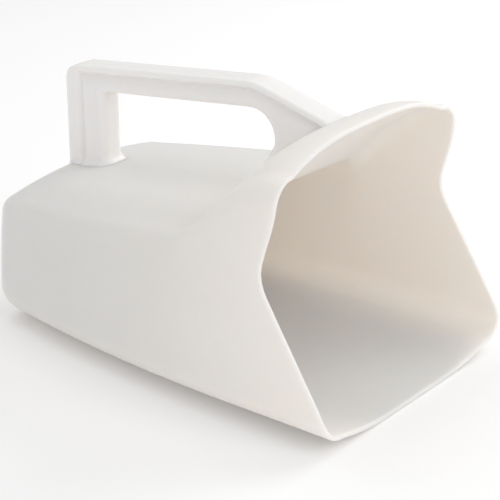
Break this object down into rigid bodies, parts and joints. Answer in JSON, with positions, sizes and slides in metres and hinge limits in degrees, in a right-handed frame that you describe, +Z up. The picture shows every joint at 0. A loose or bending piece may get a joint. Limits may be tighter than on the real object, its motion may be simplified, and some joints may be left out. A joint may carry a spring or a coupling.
{
  "type": "hand scoop",
  "caption": "One-hand utility scoop with a deep open-fronted vessel, a raised hood over the mouth and a bridge handle.",
  "frame": {"origin": "middle of the footprint, on the surface that the scoop rests on", "axes": "+X towards the pouring lip, +Y across to the left side seen from behind, +Z up"},
  "size_m": [0.2308, 0.154, 0.1428],
  "materials": {
    "vessel_plastic": "matte",
    "handle_plastic": "gloss"
  },
  "bodies": {
    "root": {"vessel": "vessel_plastic", "handle": "handle_plastic"}
  },
  "joints": []
}
